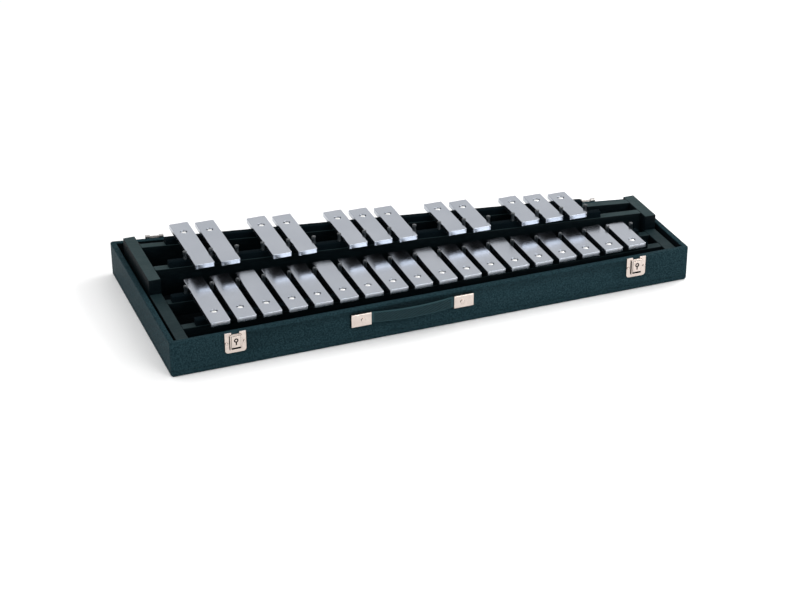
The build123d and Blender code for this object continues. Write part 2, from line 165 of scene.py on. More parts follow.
def welded(node):
    """The CAD node's mesh as a bmesh with its doubled vertices merged and flat faces joined."""
    edit = bmesh.new()
    edit.from_mesh(frame["nodes"][node].data)
    bmesh.ops.remove_doubles(edit, verts=edit.verts, dist=WELD_DISTANCE)
    for layers in (edit.loops.layers, edit.verts.layers):
        for kind in (layers.float_vector, layers.float_color, layers.color):
            for layer in list(kind.values()):
                kind.remove(layer)
    bmesh.ops.dissolve_limit(
        edit, angle_limit=math.radians(FLAT_ANGLE), verts=edit.verts, edges=edit.edges,
    )
    return edit


def softened(node, material, width, segments=3):
    """A copy of a CAD node with its sharp edges rounded."""
    edit = welded(node)
    sharp = [
        edge for edge in edit.edges
        if edge.is_manifold and edge.calc_face_angle() > math.radians(LEAST_SHARP_ANGLE)
    ]
    bmesh.ops.bevel(
        edit, geom=sharp, offset=width, segments=segments, profile=0.5,
        affect="EDGES", clamp_overlap=True,
    )
    piece = add_piece(f"{node}_rounded", to_mesh(edit, node), material, node)
    weighted = piece.modifiers.new("flat_faces", "WEIGHTED_NORMAL")
    weighted.keep_sharp = True
    return piece


def islands(node):
    """Lists of points, one for each separate solid in a CAD node, from bass to treble."""
    edit = bmesh.new()
    edit.from_mesh(frame["nodes"][node].data)
    bmesh.ops.remove_doubles(edit, verts=edit.verts, dist=WELD_DISTANCE)
    unseen = set(edit.verts)
    found = []
    while unseen:
        stack = [unseen.pop()]
        points = []
        while stack:
            vertex = stack.pop()
            points.append(vertex.co.copy())
            for edge in vertex.link_edges:
                other = edge.other_vert(vertex)
                if other in unseen:
                    unseen.remove(other)
                    stack.append(other)
        found.append(points)
    edit.free()
    return sorted(found, key=lambda points: sum(p.x for p in points) / len(points))


def box_of(points):
    """Lowest and highest corner of some points."""
    low = Vector(min(p[axis] for p in points) for axis in range(3))
    high = Vector(max(p[axis] for p in points) for axis in range(3))
    return low, high


def centres(node):
    """Box centres of the separate solids in a CAD node."""
    return [sum(box_of(points), Vector()) / 2 for points in islands(node)]


# ---------------------------------------------------------------- materials
RANGE_SOCKETS = ("From Min", "From Max", "To Min", "To Max")


class Look:
    """A procedural material: a Principled shader with textures in the object's own space."""

    def __init__(self, name, **constants):
        self.material = bpy.data.materials.new(name)
        self.material.use_nodes = True
        self.nodes = self.material.node_tree.nodes
        self.links = self.material.node_tree.links
        self.shader = self.nodes["Principled BSDF"]
        for socket, value in constants.items():
            self.shader.inputs[socket.replace("_", " ")].default_value = value
        self.place = self.nodes.new("ShaderNodeTexCoord").outputs["Object"]

    def stretched(self, scale):
        """Object coordinates, scaled along each axis."""
        mapping = self.nodes.new("ShaderNodeMapping")
        mapping.inputs["Scale"].default_value = scale
        self.links.new(self.place, mapping.inputs["Vector"])
        return mapping.outputs["Vector"]

    def noise(self, scale, detail=3.0, roughness=0.5, place=None):
        texture = self.nodes.new("ShaderNodeTexNoise")
        texture.inputs["Scale"].default_value = scale
        texture.inputs["Detail"].default_value = detail
        texture.inputs["Roughness"].default_value = roughness
        self.links.new(place or self.place, texture.inputs["Vector"])
        return texture.outputs["Fac"]

    def cells(self, scale, feature="F1"):
        texture = self.nodes.new("ShaderNodeTexVoronoi")
        texture.feature = feature
        texture.inputs["Scale"].default_value = scale
        self.links.new(self.place, texture.inputs["Vector"])
        return texture.outputs["Distance"]

    def remap(self, value, low, high, to_low, to_high):
        node = self.nodes.new("ShaderNodeMapRange")
        for socket, number in zip(RANGE_SOCKETS, (low, high, to_low, to_high)):
            node.inputs[socket].default_value = number
        self.links.new(value, node.inputs["Value"])
        return node.outputs["Result"]

    def mix_colour(self, factor, first, second):
        node = self.nodes.new("ShaderNodeMix")
        node.data_type = "RGBA"
        self.links.new(factor, node.inputs["Factor"])
        for socket, value in ((node.inputs[6], first), (node.inputs[7], second)):
            if isinstance(value, tuple):
                socket.default_value = (*value, 1.0)
            else:
                self.links.new(value, socket)
        return node.outputs[2]

    def bump(self, height, strength, distance, below=None):
        node = self.nodes.new("ShaderNodeBump")
        node.inputs["Strength"].default_value = strength
        node.inputs["Distance"].default_value = distance
        self.links.new(height, node.inputs["Height"])
        if below is not None:
            self.links.new(below, node.inputs["Normal"])
        return node.outputs["Normal"]

    def normal_part(self, axis):
        """One component of the object's own surface normal."""
        coordinates = self.nodes.new("ShaderNodeTexCoord")
        parts = self.nodes.new("ShaderNodeSeparateXYZ")
        self.links.new(coordinates.outputs["Normal"], parts.inputs["Vector"])
        return parts.outputs[axis]

    def facing_up(self, low, high):
        """0 on upright faces and 1 on level ones."""
        return self.remap(self.normal_part("Z"), low, high, 0.0, 1.0)

    def facing_out(self, low, high):
        """1 on faces that look to the front, the back or up and 0 on their side walls."""
        size = self.nodes.new("ShaderNodeMath")
        size.operation = "ABSOLUTE"
        self.links.new(self.normal_part("Y"), size.inputs[0])
        larger = self.nodes.new("ShaderNodeMath")
        larger.operation = "MAXIMUM"
        self.links.new(size.outputs["Value"], larger.inputs[0])
        self.links.new(self.normal_part("Z"), larger.inputs[1])
        return self.remap(larger.outputs["Value"], low, high, 0.0, 1.0)

    def blend(self, factor, first, second):
        """A number on upright faces that turns into a texture's value on level ones."""
        node = self.nodes.new("ShaderNodeMix")
        self.links.new(factor, node.inputs["Factor"])
        node.inputs[2].default_value = first
        self.links.new(second, node.inputs[3])
        return node.outputs[0]

    def feed(self, socket, value):
        self.links.new(value, self.shader.inputs[socket])


def lacquered_metal():
    """Silver lacquer on aluminium: cloudy in tone, its shine uneven on top and even on the sides."""
    look = Look("bar_lacquer", Metallic=1.0, Coat_Weight=0.2, Coat_Roughness=0.10)
    cloud = look.noise(14.0, 2.0)
    tone = look.mix_colour(look.remap(cloud, 0.3, 0.7, 0.0, 1.0),
                           (0.350, 0.378, 0.425), (0.395, 0.420, 0.465))
    flakes = look.remap(look.noise(2600.0, 2.0, 0.7), 0.35, 0.7, 0.0, 0.22)
    look.feed("Base Color", look.mix_colour(flakes, tone, (0.48, 0.50, 0.55)))
    smooth = look.remap(look.noise(45.0, 3.0), 0.3, 0.7, 0.20, 0.26)
    look.feed("Roughness", look.blend(look.facing_up(0.5, 0.9), 0.24, smooth))
    flow = look.bump(look.noise(38.0, 2.0), 0.08, 0.00018)
    look.feed("Normal", look.bump(look.noise(420.0, 2.0), 0.04, 0.00005, flow))
    return look.material


def leatherette():
    """Dark blue-green covering of the case, embossed with a pebble grain about 2 mm across."""
    look = Look("leatherette", Specular_IOR_Level=0.015)
    grain = look.cells(430.0, "SMOOTH_F1")
    pores = look.noise(1500.0, 3.0, 0.65)
    speckle = look.noise(520.0, 2.0, 0.5)
    crest = look.remap(grain, 0.05, 0.55, 1.0, 0.0)
    base = look.mix_colour(crest, (0.0055, 0.0170, 0.0220), (0.0165, 0.0385, 0.0470))
    look.feed("Base Color", look.mix_colour(look.remap(speckle, 0.45, 0.75, 0.0, 0.7),
                                            base, (0.0225, 0.0500, 0.0600)))
    look.feed("Roughness", look.remap(pores, 0.3, 0.7, 0.42, 0.58))
    fine = look.bump(pores, 0.35, 0.00012)
    look.feed("Normal", look.bump(grain, 0.7, 0.0005, fine))
    return look.material


def black_lining():
    """Dull black paper that lines the inside of the case."""
    look = Look("case_lining", Specular_IOR_Level=0.06)
    fibres = look.noise(600.0, 4.0, 0.6)
    look.feed("Base Color", look.mix_colour(fibres, (0.0008, 0.0026, 0.0040), (0.0030, 0.0065, 0.0085)))
    look.feed("Roughness", look.remap(fibres, 0.3, 0.7, 0.80, 0.95))
    look.feed("Normal", look.bump(fibres, 0.3, 0.0001))
    return look.material


def painted_wood(name, dust_and_top_light_low, dust_and_top_light_high):
    """Satin charcoal paint over wood, with the grain just showing; level faces are lighter than upright
    ones, partly from dust and partly as painted light from above.
    """
    look = Look(name, Specular_IOR_Level=0.08)
    grain = look.noise(1.0, 4.0, 0.6, look.stretched((60.0, 420.0, 420.0)))
    drift = look.noise(22.0, 5.0, 0.65)
    paint = look.mix_colour(look.remap(grain, 0.45, 0.8, 0.0, 1.0),
                            (0.0010, 0.0035, 0.0050), (0.0030, 0.0080, 0.0100))
    dust_and_top_light = look.mix_colour(look.remap(drift, 0.3, 0.75, 0.0, 1.0), dust_and_top_light_low, dust_and_top_light_high)
    # level faces take the lighter colour, partly dust and partly painted light; upright faces keep the
    # dark paint
    look.feed("Base Color", look.mix_colour(look.facing_up(0.6, 0.95), paint, dust_and_top_light))
    look.feed("Roughness", look.remap(grain, 0.3, 0.7, 0.48, 0.66))
    look.feed("Normal", look.bump(grain, 0.30, 0.00018))
    return look.material


def black_felt():
    """Pressed black felt: matted fibres with no shine."""
    look = Look("felt", Roughness=0.98, Specular_IOR_Level=0.03)
    fibres = look.noise(1300.0, 6.0, 0.75, look.stretched((1.0, 2.2, 1.6)))
    clumps = look.noise(190.0, 4.0, 0.6)
    look.feed("Base Color", look.mix_colour(look.remap(fibres, 0.35, 0.75, 0.0, 1.0),
                                            (0.0008, 0.0024, 0.0038), (0.0040, 0.0090, 0.0120)))
    look.feed("Normal", look.bump(fibres, 0.8, 0.0005, look.bump(clumps, 0.6, 0.0008)))
    return look.material


def nickel():
    """Warm nickel plating with haze and scratches; its side walls are painted near black as painted
    shade, while faces that look front, back or up keep the plating's tone.
    """
    look = Look("nickel", Metallic=1.0)
    scratches = look.noise(1.0, 3.0, 0.7, look.stretched((2600.0, 2600.0, 180.0)))
    haze = look.noise(120.0, 4.0, 0.6)
    plating_tone = look.mix_colour(look.remap(haze, 0.35, 0.7, 0.0, 1.0),
                               (0.545, 0.470, 0.425), (0.635, 0.555, 0.505))
    # painted shade: side walls of caps, plates, slides and rivets get a near-black colour
    side_wall_shade = (0.078, 0.070, 0.064)
    look.feed("Base Color", look.mix_colour(look.facing_out(0.35, 0.80), side_wall_shade, plating_tone))
    look.feed("Roughness", look.remap(haze, 0.3, 0.7, 0.15, 0.24))
    look.feed("Normal", look.bump(scratches, 0.08, 0.00004))
    return look.material


def steel(name, tone, rough):
    """Steel of the screws, pins, lock plugs, springs and hinges, each with its own tone; the lock
    plugs' near-black tone is painted shade of their keyhole.
    """
    look = Look(name, Metallic=1.0)
    turning = look.noise(900.0, 3.0, 0.6)
    look.feed("Base Color", look.mix_colour(turning, tuple(c * 0.9 for c in tone), tone))
    look.feed("Roughness", look.remap(turning, 0.3, 0.7, rough * 0.8, rough * 1.3))
    look.feed("Normal", look.bump(turning, 0.08, 0.00004))
    return look.material


def black_rubber():
    """Slightly glossy black rubber of sleeves and grommets."""
    look = Look("rubber", Specular_IOR_Level=0.5)
    skin = look.noise(1500.0, 3.0, 0.6)
    look.feed("Base Color", look.mix_colour(skin, (0.004, 0.007, 0.009), (0.014, 0.019, 0.022)))
    look.feed("Roughness", look.remap(skin, 0.3, 0.7, 0.22, 0.36))
    look.feed("Normal", look.bump(skin, 0.2, 0.00008))
    return look.material


def strap_skin(name, low, high):
    """Moulded black strap with a fine leathery skin."""
    look = Look(name, Specular_IOR_Level=0.06)
    skin = look.noise(1700.0, 4.0, 0.65)
    cells = look.cells(1500.0)
    look.feed("Base Color", look.mix_colour(skin, low, high))
    look.feed("Roughness", look.remap(skin, 0.3, 0.7, 0.42, 0.58))
    look.feed("Normal", look.bump(cells, 0.25, 0.0001, look.bump(skin, 0.2, 0.00008)))
    return look.material


LACQUER = lacquered_metal()
LEATHERETTE = leatherette()
# level-face colours of both paints stand for dust and for painted light from above
PAINT = painted_wood("frame_paint", (0.0055, 0.0150, 0.0175), (0.0135, 0.0265, 0.0295))
# a lighter copy of the frame paint for the raised parts: painted light on their higher tops, besides
# dust
LIT_RAISED_PAINT = painted_wood("raised_paint_lit", (0.0110, 0.0260, 0.0285), (0.0255, 0.0430, 0.0460))
FELT = black_felt()
NICKEL = nickel()
LINING = black_lining()
SCREW_STEEL = steel("screw_steel", (0.95, 0.95, 0.94), 0.34)
PIN_STEEL = steel("pin_steel", (0.16, 0.17, 0.18), 0.34)
# painted shade: near-black steel for the lock plugs, which sit in shade in their keyholes
LOCK_PLUG_SHADE = steel("lock_plug_painted_shade", (0.020, 0.018, 0.017), 0.42)
SPRING_STEEL = steel("spring_steel", (0.45, 0.45, 0.47), 0.35)
HINGE_STEEL = steel("hinge_steel", (0.56, 0.54, 0.52), 0.28)
RUBBER = black_rubber()
STRAP = strap_skin("strap_skin", (0.0120, 0.0330, 0.0400), (0.0250, 0.0570, 0.0660))
# painted shade: a near-black skin for the bottoms of the strap's rib grooves
STRAP_GROOVE_SHADE = strap_skin("strap_groove_painted_shade", (0.0010, 0.0040, 0.0060), (0.0030, 0.0080, 0.0100))

# ---------------------------------------------------------------- case
FLAT_MARGIN = 0.4 * MM
CASE_CORNER = 5.0 * MM
FOOT_RADIUS = 3.0 * MM
RIM_RADIUS = 1.6 * MM
RIM_INNER_RADIUS = 1.2 * MM
SEAM_DEPTH = 0.8 * MM
SEAM_HALF = 0.7 * MM
SEAM_PROFILE = (
    (-2.2, 0.0), (-1.2, 0.0), (-0.7, 0.35), (0.0, 1.0), (0.7, 0.35), (1.2, 0.0), (2.2, 0.0),
)
FOOT_STEPS = 6
LINING_CORNER = 1.0 * MM
LATCH_POCKET_WIDTH = 17.4 * MM
LATCH_POCKET_DEPTH = 5.0 * MM
LATCH_POCKET_HEIGHT = 25.2 * MM
CORNER_STEPS = 8


def offset_polygon(corners, inset):
    """Corners of a convex polygon whose sides have all moved inwards."""
    moved = []
    count = len(corners)
    for i in range(count):
        before, here, after = corners[i - 1], corners[i], corners[(i + 1) % count]
        first = (here - before).normalized()
        second = (after - here).normalized()
        normals = [Vector((-d.y, d.x)) for d in (first, second)]
        scale = inset / (1 + normals[0].dot(normals[1]))
        moved.append(here + (normals[0] + normals[1]) * scale)
    return moved


def rounded_loop(corners, inset, radius, height, steps=CORNER_STEPS):
    """A loop of points around a polygon that is inset, with rounded corners."""
    points = []
    moved = offset_polygon(corners, inset + radius)
    count = len(corners)
    for i, centre in enumerate(moved):
        before, here, after = corners[i - 1], corners[i], corners[(i + 1) % count]
        first = (here - before).normalized()
        second = (after - here).normalized()
        start = math.atan2(-first.x, first.y)
        turn = math.atan2(first.x * second.y - first.y * second.x, first.dot(second))
        for k in range(steps + 1):
            angle = start + turn * k / steps
            points.append((
                centre.x + radius * math.cos(angle), centre.y + radius * math.sin(angle), height,
            ))
    return points


def outer_plan():
    """Corners of the case's outer plan and its wall thickness. The back wall slants."""
    front_low, front_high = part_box("case_front")
    wall = front_high.y - front_low.y
    end_backs = []
    for side, outer_x in (("bass", front_low.x), ("treble", front_high.x)):
        cad = frame["nodes"][f"case_{side}_end"].data.vertices
        end_backs.append(max(v.co.y for v in cad if abs(v.co.x - outer_x) < AT_END))
    bass_back, treble_back = end_backs
    slope = (treble_back - bass_back) / (front_high.x - front_low.x)
    thickness = wall * math.hypot(1.0, slope)
    return [
        Vector((front_low.x, front_low.y)),
        Vector((front_high.x, front_low.y)),
        Vector((front_high.x, treble_back + thickness)),
        Vector((front_low.x, bass_back + thickness)),
    ], wall


def cut(piece_mesh, cutters):
    """Cuts closed meshes out of another by an exact boolean and returns the result."""
    base = bpy.data.objects.new("boolean_base", piece_mesh)
    bpy.context.scene.collection.objects.link(base)
    helpers = []
    for cutter in cutters:
        helper = bpy.data.objects.new("boolean_cutter", cutter)
        bpy.context.scene.collection.objects.link(helper)
        modifier = base.modifiers.new("cut", "BOOLEAN")
        modifier.object = helper
        modifier.operation = "DIFFERENCE"
        modifier.solver = "EXACT"
        helpers.append(helper)
    bpy.context.view_layer.update()
    evaluated = base.evaluated_get(bpy.context.evaluated_depsgraph_get())
    result = bpy.data.meshes.new_from_object(evaluated)
    for helper in (base, *helpers):
        bpy.data.objects.remove(helper)
    return result


def block_mesh(low, high):
    """A closed box, used as a cutter."""
    edit = bmesh.new()
    corners = [(low.x, low.y), (high.x, low.y), (high.x, high.y), (low.x, high.y)]
    solid_loft(edit, [[(x, y, z) for x, y in corners] for z in (low.z, high.z)])
    return to_mesh(edit, "block")


def depth_inside(corners, point):
    """How far a point is from the nearest side of the convex plan that it lies in."""
    depths = []
    for here, after in zip(corners, corners[1:] + corners[:1]):
        along = (after - here).normalized()
        depths.append((point - here).dot(Vector((-along.y, along.x))))
    return min(depths)


def add_case():
    """The covered case: rounded foot, seam above the bottom panel, and a rounded rim."""
    corners, wall = outer_plan()
    floor_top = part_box("case_bottom")[1].z
    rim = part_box("case_front")[1].z
    seam = floor_top + SEAM_HALF
    loops = [(FOOT_RADIUS * 4, CASE_CORNER, 0.0)]
    loops += [(inset, CASE_CORNER, FOOT_RADIUS - rise)
              for inset, rise in reversed(quarter(FOOT_RADIUS, FOOT_STEPS))]
    loops += [(depth * SEAM_DEPTH, CASE_CORNER, seam + rise * SEAM_HALF)
              for rise, depth in SEAM_PROFILE]
    loops.append((0.0, CASE_CORNER, rim - RIM_RADIUS - FLAT_MARGIN))
    loops += [(inset, CASE_CORNER, rim - RIM_RADIUS + rise) for inset, rise in quarter(RIM_RADIUS, 5)]
    inner = [(wall - inset, rim - RIM_INNER_RADIUS + rise)
             for inset, rise in reversed(quarter(RIM_INNER_RADIUS, 4))]
    inner += [(wall, rim - 3 * MM), (wall, floor_top + LINING_CORNER)]
    inner += [(wall + LINING_CORNER, floor_top)]
    loops += [(inset, LINING_CORNER, height) for inset, height in inner]
    edit = bmesh.new()
    solid_loft(edit, [
        rounded_loop(corners, inset, max(radius - inset, 0.3 * MM), height)
        for inset, radius, height in loops
    ])
    shell = to_mesh(edit, "case_shell")
    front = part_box("case_front")[0].y
    cutters = []
    for side in SIDES:
        low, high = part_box(f"latch_slide_{side}")
        spring_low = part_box(f"latch_spring_{side}")[0]
        middle = (low + high) / 2
        cutters.append(block_mesh(
            Vector((middle.x - LATCH_POCKET_WIDTH / 2, front - 1 * MM, spring_low.z)),
            Vector((middle.x + LATCH_POCKET_WIDTH / 2, front + LATCH_POCKET_DEPTH,
                    spring_low.z + LATCH_POCKET_HEIGHT)),
        ))
    shell = cut(shell, cutters)
    piece = add_piece("case_shell", shell, LEATHERETTE, "case_front",
                      ("case_back", "case_bottom", "case_bass_end", "case_treble_end"))
    piece.data.materials.append(LINING)
    for face in piece.data.polygons:
        below_rim = face.center.z < rim - RIM_INNER_RADIUS
        if below_rim and depth_inside(corners, face.center.xy) > wall - 0.2 * MM:
            face.material_index = 1


# ---------------------------------------------------------------- inner frame
BOARD_EDGE = 0.9 * MM


def strip_corners(points):
    """Plan corners of a straight strip: the ends of its two long sides."""
    low, high = box_of(points)
    bass = [p.y for p in points if p.x < low.x + AT_END]
    treble = [p.y for p in points if p.x > high.x - AT_END]
    return [
        Vector((low.x, min(bass))), Vector((high.x, min(treble))),
        Vector((high.x, max(treble))), Vector((low.x, max(bass))),
    ]


def add_board(node, material):
    """A board with rounded arrises along all its edges."""
    points = islands(node)[0]
    low, high = box_of(points)
    corners = strip_corners(points)
    rounding = quarter(BOARD_EDGE, 3)
    loops = [(inset, low.z + BOARD_EDGE - rise) for inset, rise in reversed(rounding)]
    loops += [(0.0, high.z - BOARD_EDGE - 0.5 * MM)]
    loops += [(inset, high.z - BOARD_EDGE + rise) for inset, rise in rounding]
    loops += [(BOARD_EDGE + 0.6 * MM, high.z)]
    edit = bmesh.new()
    solid_loft(edit, [
        rounded_loop(corners, inset, max(BOARD_EDGE - inset, 0.15 * MM), height, 3)
        for inset, height in loops
    ])
    add_piece(f"{node}_board", to_mesh(edit, node), material, node)


FELT_STEP = 4.0 * MM
FELT_WAVER = 0.35 * MM
FELT_FRONT_HALF = ((0.0, 0.0), (0.0, 0.5), (0.0, 0.86), (0.05, 0.95), (0.16, 1.0), (0.5, 0.985))


def felt_strip(edit, points):
    """One felt strip whose sides and top waver a little, as cut felt does."""
    low, high = box_of(points)
    bass_front, treble_front, treble_back, bass_back = strip_corners(points)
    count = int((high.x - low.x) / FELT_STEP)
    section = list(FELT_FRONT_HALF)
    section += [(1 - across, up) for across, up in reversed(FELT_FRONT_HALF[:-1])]
    loops = []
    for k in range(count + 1):
        share = k / count
        front, back = bass_front.lerp(treble_front, share), bass_back.lerp(treble_back, share)
        loop = []
        for i, (across, up) in enumerate(section):
            place = front.lerp(back, across)
            phase = share * count
            waver = FELT_WAVER * (math.sin(phase * 1.7 + i) + math.sin(phase * 0.63 + 2 * i)) / 2
            side = 1 if across < 0.5 else -1
            inward = (waver + FELT_WAVER) * side if 0 < up < 1 and across in (0.0, 1.0) else 0.0
            sink = abs(waver) * 0.8 if up > 0.9 else 0.0
            loop.append((place.x, place.y + inward, low.z + up * (high.z - low.z) - sink))
        loops.append(loop)
    solid_loft(edit, loops)


def add_felts():
    """The felt strips, one piece for each row of bars."""
    for node in ("felts_natural", "felts_accidental"):
        edit = bmesh.new()
        for points in islands(node):
            felt_strip(edit, points)
        add_piece(f"{node}_strips", to_mesh(edit, node, 60.0), FELT, node)


# ---------------------------------------------------------------- bars
BAR_CORNER = 1.4 * MM
BAR_TOP_EDGE = 0.85 * MM
BAR_FOOT_EDGE = 0.35 * MM
BAR_CROWN = 0.03 * MM
BORE_RADIUS = 5.3 * MM
BORE_DEPTH = 4.0 * MM
BORE_LIP = 0.22 * MM
HOLE_RADIUS = 3.5 * MM
BAR_END_MARGIN = 3.0 * MM
BAR_CORNER_STEPS = 4
HOLE_FAN_STEP = 6
HOLE_FAN_COUNT = 14
BAR_SHARES = (-0.66, -0.33, 0.0, 0.33, 0.66)
TOP_SHARES = (0.2, 0.4, 0.6, 0.8, 0.93, 1.0)


def bar_outline(low, high, hole, inset):
    """Points around a bar, inset from its sides, closer together beside its hole."""
    radius = max(BAR_CORNER - inset, 0.2 * MM)
    half = (high.x - low.x) / 2
    x_centre = (low.x + high.x) / 2
    fan = range(-HOLE_FAN_COUNT, HOLE_FAN_COUNT + 1)
    reach = [half * math.tan(math.radians(HOLE_FAN_STEP * k)) for k in fan]
    ys = [hole.y + r for r in reach if low.y + BAR_END_MARGIN < hole.y + r < high.y - BAR_END_MARGIN]
    xs = [x_centre + half * share for share in BAR_SHARES]
    points = [(high.x - inset, y) for y in ys]
    corner_places = [
        (high.x - inset - radius, high.y - inset - radius, 0.0),
        (low.x + inset + radius, high.y - inset - radius, 90.0),
        (low.x + inset + radius, low.y + inset + radius, 180.0),
        (high.x - inset - radius, low.y + inset + radius, 270.0),
    ]
    sides = [
        [(x, high.y - inset) for x in reversed(xs)],
        [(low.x + inset, y) for y in reversed(ys)],
        [(x, low.y + inset) for x in xs],
        [],
    ]
    for (cx, cy, start), side in zip(corner_places, sides):
        for k in range(BAR_CORNER_STEPS + 1):
            angle = math.radians(start + 90.0 * k / BAR_CORNER_STEPS)
            points.append((cx + radius * math.cos(angle), cy + radius * math.sin(angle)))
        points += side
    return points


def bar_mesh(name, low, high, hole):
    """A bar with a crowned top, rounded arrises and a counterbored hole for its screw."""
    outline = bar_outline(low, high, hole, 0.0)
    directions = [(Vector(p) - hole.xy).normalized() for p in outline]
    half = (high.x - low.x) / 2
    x_centre = (low.x + high.x) / 2

    def circle(radius, height):
        return [(hole.x + d.x * radius, hole.y + d.y * radius, height) for d in directions]

    def ring(inset, height):
        return [(x, y, height) for x, y in bar_outline(low, high, hole, inset)]

    def crowned(points, drop=0.0):
        return [(x, y, high.z - drop - BAR_CROWN * ((x - x_centre) / half) ** 2) for x, y, _ in points]

    loops = [circle(HOLE_RADIUS, low.z)]
    loops += [ring(BAR_FOOT_EDGE + 0.5 * MM, low.z)]
    loops += [ring(inset, low.z + BAR_FOOT_EDGE - rise)
              for inset, rise in reversed(quarter(BAR_FOOT_EDGE, 3))]
    loops += [ring(0.0, low.z + BAR_FOOT_EDGE + 0.4 * MM)]
    loops += [ring(0.0, high.z - BAR_TOP_EDGE - BAR_CROWN - 0.3 * MM)]
    for inset, rise in quarter(BAR_TOP_EDGE, 5):
        loops.append(crowned(ring(inset, 0.0), BAR_TOP_EDGE - rise))
    top = crowned(ring(BAR_TOP_EDGE + 0.25 * MM, 0.0))
    mouth = circle(BORE_RADIUS + BORE_LIP + 0.15 * MM, 0.0)
    loops.append(top)
    for share in TOP_SHARES:
        loops.append(crowned([
            (a[0] + (b[0] - a[0]) * share, a[1] + (b[1] - a[1]) * share, 0.0)
            for a, b in zip(top, mouth)
        ]))
    for inset, rise in reversed(quarter(BORE_LIP, 3)):
        loops.append(crowned(circle(BORE_RADIUS + inset, 0.0), BORE_LIP - rise))
    seat = high.z - BORE_DEPTH
    loops += [circle(BORE_RADIUS, seat + 0.2 * MM), circle(BORE_RADIUS - 0.2 * MM, seat)]
    loops += [circle(HOLE_RADIUS, seat)]
    edit = bmesh.new()
    loft(edit, loops, closed=True)
    return to_mesh(edit, name)


def add_bars():
    """Each bar as a piece of its own, with its hole where its screw is."""
    holes = centres("bar_screws")
    for node in sorted(frame["nodes"]):
        if not node.startswith("bar_") or node in ("bar_screws", "bar_grommets"):
            continue
        low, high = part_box(node)
        hole = next(h for h in holes if low.x < h.x < high.x and low.y < h.y < high.y)
        add_piece(f"{node}_finished", bar_mesh(node, low, high, hole), LACQUER, node)


# ---------------------------------------------------------------- screws, grommets and posts
SCREW_HEAD_RADIUS = 4.3 * MM
SCREW_HEAD_HEIGHT = 2.4 * MM
SCREW_SHANK_RADIUS = 2.0 * MM
RECESS_ARM = 0.22 * MM
RECESS_REACH = 1.1 * MM
RECESS_DEPTH = 0.6 * MM
DOME_STEPS = 9
SCREW_TURN = 2.4
GROMMET_FLANGE_RADIUS = 5.0 * MM
GROMMET_FLANGE = 1.0 * MM


def screw_mesh(length):
    """A domed screw with a cross recess, its top at height 0."""
    edit = bmesh.new()
    dome = [(SCREW_HEAD_RADIUS * math.sin(a), -SCREW_HEAD_HEIGHT * 0.8 * (1 - math.cos(a)))
            for a in (math.pi / 2 * k / DOME_STEPS for k in range(DOME_STEPS + 1))]
    dome[0] = (0.0, 0.0)
    profile = dome + [(SCREW_HEAD_RADIUS, -SCREW_HEAD_HEIGHT), (SCREW_SHANK_RADIUS, -SCREW_HEAD_HEIGHT),
                      (SCREW_SHANK_RADIUS, -length), (0.0, -length)]
    lathe(edit, Vector(), profile, 40)
    body = to_mesh(edit, "screw")
    arms = [
        block_mesh(Vector((-RECESS_REACH, -RECESS_ARM, -RECESS_DEPTH)),
                   Vector((RECESS_REACH, RECESS_ARM, 1 * MM))),
        block_mesh(Vector((-RECESS_ARM, -RECESS_REACH, -RECESS_DEPTH)),
                   Vector((RECESS_ARM, RECESS_REACH, 1 * MM))),
    ]
    return cut(body, arms)


def add_screws():
    """All bar screws as one piece, each turned by its own angle."""
    edit = bmesh.new()
    for index, points in enumerate(islands("bar_screws")):
        low, high = box_of(points)
        centre = (low + high) / 2
        single = bmesh.new()
        single.from_mesh(screw_mesh(high.z - low.z))
        turn = Matrix.Rotation(index * SCREW_TURN, 4, "Z")
        place = Matrix.Translation((centre.x, centre.y, high.z))
        bmesh.ops.transform(single, matrix=place @ turn, verts=single.verts)
        copy = bpy.data.meshes.new("screw_copy")
        single.to_mesh(copy)
        single.free()
        edit.from_mesh(copy)
    add_piece("bar_screws_domed", to_mesh(edit, "bar_screws"), SCREW_STEEL, "bar_screws")


def add_grommets():
    """All bar grommets as one piece: a sleeve in each bar's hole under a rounded flange."""
    edit = bmesh.new()
    for points in islands("bar_grommets"):
        low, high = box_of(points)
        centre = (low + high) / 2
        shelf = high.z - GROMMET_FLANGE
        lathe(edit, centre, [
            (SCREW_SHANK_RADIUS, low.z), (HOLE_RADIUS, low.z), (HOLE_RADIUS, shelf),
            (GROMMET_FLANGE_RADIUS - 0.2 * MM, shelf), (GROMMET_FLANGE_RADIUS, shelf + 0.3 * MM),
            (GROMMET_FLANGE_RADIUS, high.z - 0.3 * MM), (GROMMET_FLANGE_RADIUS - 0.3 * MM, high.z),
            (SCREW_SHANK_RADIUS, high.z), (SCREW_SHANK_RADIUS, low.z),
        ], 32)
    bmesh.ops.remove_doubles(edit, verts=edit.verts, dist=RING_WELD_DISTANCE)
    add_piece("bar_grommets_moulded", to_mesh(edit, "bar_grommets"), RUBBER, "bar_grommets")


SLEEVE_TOP_ROUND = 1.2 * MM
SLEEVE_FOOT_FLARE = 0.5 * MM
PIN_RADIUS = 1.5 * MM
PIN_TOP_ROUND = 0.8 * MM


